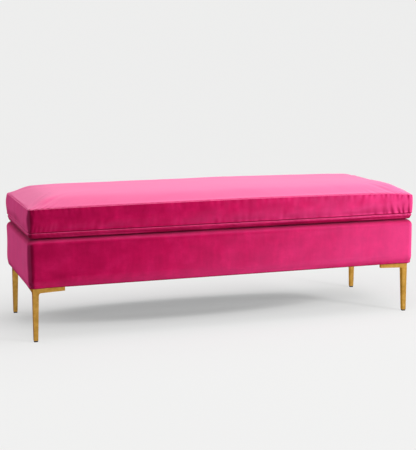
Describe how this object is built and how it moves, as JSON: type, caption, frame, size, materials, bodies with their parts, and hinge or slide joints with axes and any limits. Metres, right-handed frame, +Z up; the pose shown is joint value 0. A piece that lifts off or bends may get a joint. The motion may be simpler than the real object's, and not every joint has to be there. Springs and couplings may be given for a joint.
{
  "type": "upholstered bench",
  "caption": "Long upholstered bench: padded box base on short tapered metal legs, with a loose boxed seat cushion that lifts off.",
  "frame": {"origin": "on the floor, under the centre of the bench", "axes": "+X along the bench to its right end, -Y towards the front, +Z up"},
  "size_m": [1.372, 0.462, 0.4644],
  "materials": {
    "velvet": "matte",
    "brass": "satin",
    "wood": "matte",
    "foam": "matte",
    "wadding": "matte",
    "black_cloth": "matte",
    "black_plastic": "satin",
    "zinc": "satin",
    "zip_cloth": "matte",
    "zip_plastic": "satin"
  },
  "bodies": {
    "base": {"base_cover": "velvet", "block_screws": "zinc", "brace_screws": "zinc", "corner_block_front_left": "wood", "corner_block_front_right": "wood", "corner_block_rear_left": "wood", "corner_block_rear_right": "wood", "cross_brace_centre": "wood", "cross_brace_left": "wood", "cross_brace_right": "wood", "deck_cloth": "black_cloth", "deck_foam": "foam", "deck_panel": "wood", "deck_screws": "zinc", "dust_cover": "black_cloth", "dust_cover_staples": "zinc", "front_rail": "wood", "glide_front_left": "black_plastic", "glide_front_right": "black_plastic", "glide_rear_left": "black_plastic", "glide_rear_right": "black_plastic", "left_end_rail": "wood", "leg_front_left": "brass", "leg_front_right": "brass", "leg_rear_left": "brass", "leg_rear_right": "brass", "leg_screws": "zinc", "rear_rail": "wood", "right_end_rail": "wood", "side_padding": "wadding"},
    "cushion": {"cushion_bottom_panel": "velvet", "cushion_boxing": "velvet", "cushion_core": "foam", "cushion_top_panel": "velvet", "cushion_wrap": "wadding", "rear_boxing_lower": "velvet", "rear_boxing_upper": "velvet", "zip_chain": "zip_plastic", "zip_end_stops": "zinc", "zip_tape": "zip_cloth"},
    "zip_slider": {"zip_slider": "zinc"},
    "zip_pull": {"zip_pull_tab": "zinc"}
  },
  "joints": [
    {"name": "cushion_lift", "type": "slide", "parent": "base", "child": "cushion", "axis": [0, 0, 1], "range_m": [0, 0.25]},
    {"name": "zip_slide", "type": "slide", "parent": "cushion", "child": "zip_slider", "axis": [-1, 0, 0], "range_m": [0, 1.1874]},
    {"name": "zip_pull_swing", "type": "hinge", "parent": "zip_slider", "child": "zip_pull", "pos_m": [0.5937, 0.2291, 0.39665], "axis": [0, 0, 1], "range_deg": [0, 180]}
  ]
}
